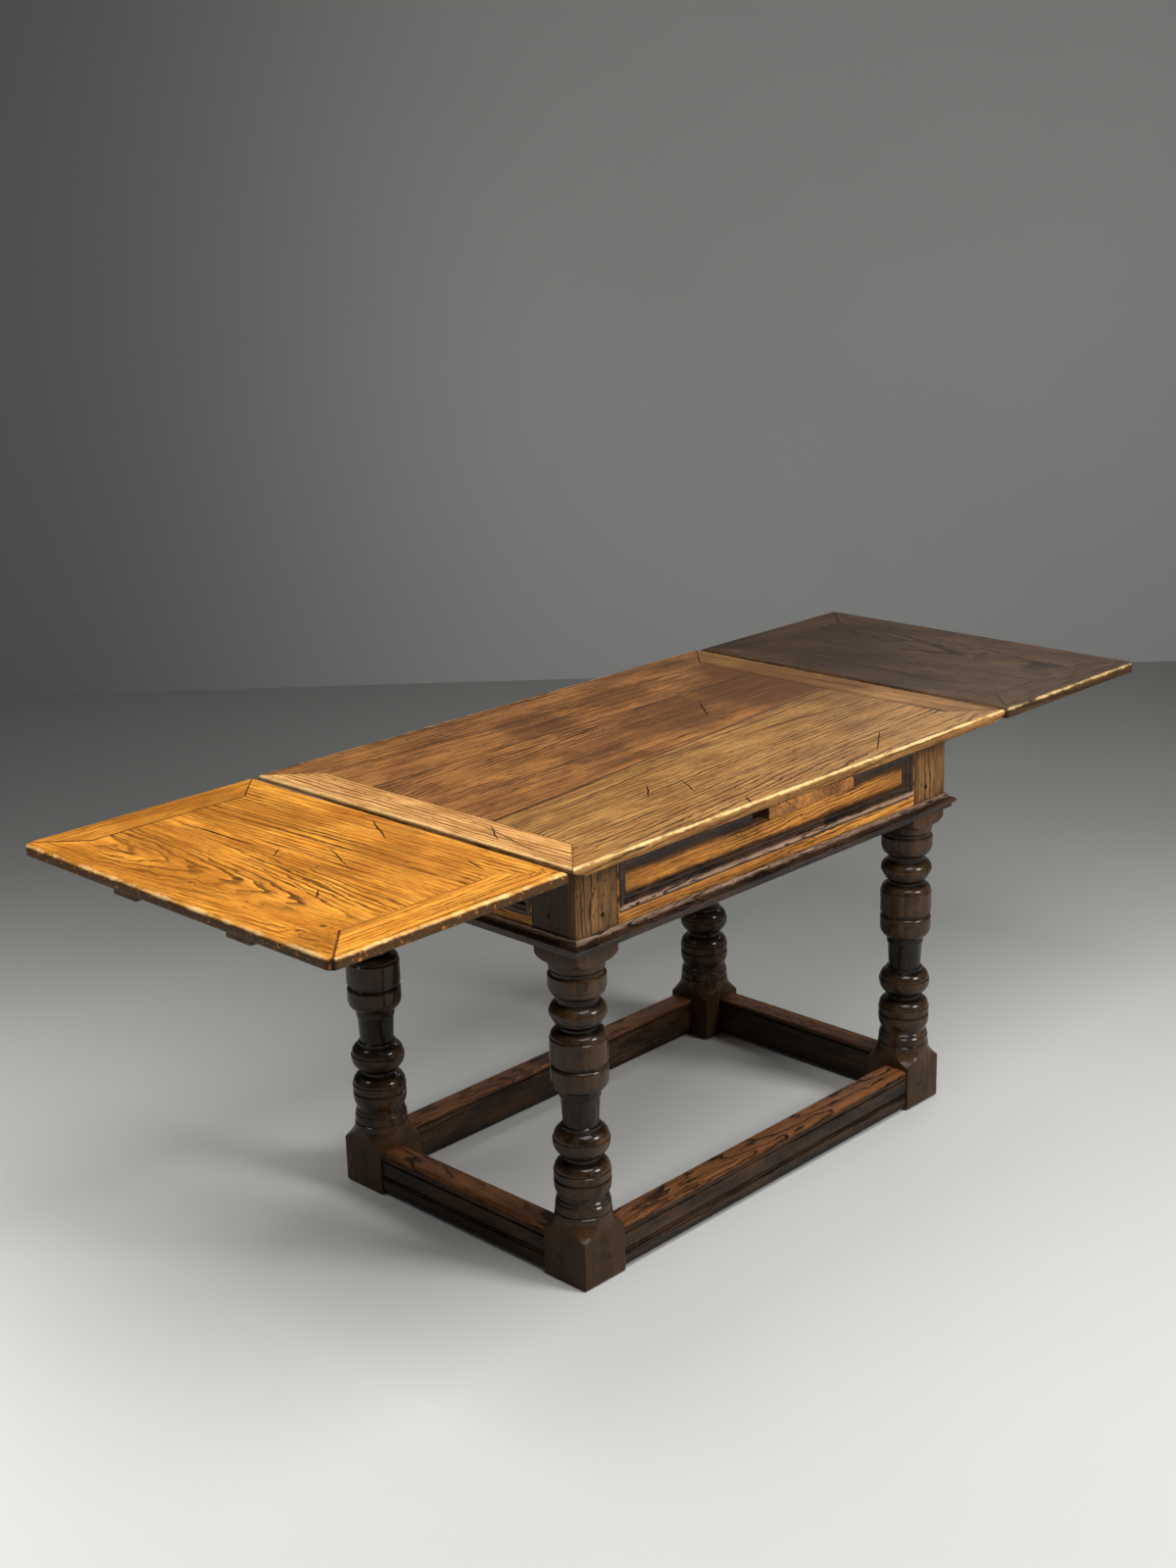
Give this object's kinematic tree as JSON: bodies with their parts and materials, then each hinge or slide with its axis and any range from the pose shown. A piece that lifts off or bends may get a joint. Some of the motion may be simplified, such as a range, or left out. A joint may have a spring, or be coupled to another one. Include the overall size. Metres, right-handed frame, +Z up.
{
  "type": "extending table",
  "caption": "Oak draw-leaf table on four turned legs joined by low stretchers, with sunk frieze panels and a loose top over two sliding leaves, shown extended.",
  "frame": {"origin": "on the floor, under the middle of the top", "axes": "+X along the table towards the right leaf, +Y from the front of the picture to the back, +Z up"},
  "size_m": [2.033, 0.74, 0.76],
  "materials": {
    "oak_top": "waxed",
    "oak_left_leaf": "waxed",
    "oak_right_leaf": "waxed",
    "oak_frieze": "waxed",
    "oak_moulding": "polished dark wax",
    "oak_frame": "waxed",
    "oak_peg": "waxed",
    "oak_inner": "bare"
  },
  "bodies": {
    "frame": {"leg_front_left": "oak_frame", "leg_front_right": "oak_frame", "leg_back_right": "oak_frame", "leg_back_left": "oak_frame", "frieze_front": "oak_frieze", "panel_moulding_front": "oak_moulding", "base_moulding_front": "oak_moulding", "stretcher_front": "oak_frame", "pegs_front": "oak_peg", "frieze_left": "oak_frieze", "panel_moulding_left": "oak_moulding", "base_moulding_left": "oak_moulding", "stretcher_left": "oak_frame", "pegs_left": "oak_peg", "frieze_back": "oak_frieze", "panel_moulding_back": "oak_moulding", "base_moulding_back": "oak_moulding", "stretcher_back": "oak_frame", "pegs_back": "oak_peg", "frieze_right": "oak_frieze", "panel_moulding_right": "oak_moulding", "base_moulding_right": "oak_moulding", "stretcher_right": "oak_frame", "pegs_right": "oak_peg", "bridge": "oak_top", "bridge_pegs": "oak_peg", "bridge_bearer_left": "oak_inner", "bridge_bearer_right": "oak_inner"},
    "top": {"top_plank_front": "oak_top", "top_plank_middle": "oak_top", "top_plank_back": "oak_top", "top_cleat_left": "oak_top", "top_cleat_right": "oak_top", "guide_peg_front": "oak_inner", "guide_peg_back": "oak_inner"},
    "left_leaf": {"left_leaf_board_inner": "oak_left_leaf", "left_leaf_board_outer": "oak_left_leaf", "left_leaf_cleat_front": "oak_left_leaf", "left_leaf_cleat_back": "oak_left_leaf", "left_loper_front": "oak_inner", "left_loper_back": "oak_inner", "left_stop_pin_front": "oak_peg", "left_stop_pin_back": "oak_peg"},
    "right_leaf": {"right_leaf_board_inner": "oak_right_leaf", "right_leaf_board_outer": "oak_right_leaf", "right_leaf_cleat_front": "oak_right_leaf", "right_leaf_cleat_back": "oak_right_leaf", "right_loper_front": "oak_inner", "right_loper_back": "oak_inner", "right_stop_pin_front": "oak_peg", "right_stop_pin_back": "oak_peg"}
  },
  "joints": [
    {"name": "top_lift", "type": "slide", "parent": "frame", "child": "top", "axis": [0, 0, 1], "range_m": [0, 0.18]},
    {"name": "left_leaf_draw", "type": "slide", "parent": "frame", "child": "left_leaf", "axis": [-0.9992, 0, 0.0405], "range_m": [-0.45688, 0]},
    {"name": "right_leaf_draw", "type": "slide", "parent": "frame", "child": "right_leaf", "axis": [0.9992, 0, 0.0405], "range_m": [-0.45688, 0]}
  ],
  "couplings": [
    {"joint": "left_leaf_draw", "follows": "top_lift", "ratio": -2.5382},
    {"joint": "right_leaf_draw", "follows": "top_lift", "ratio": -2.5382}
  ]
}
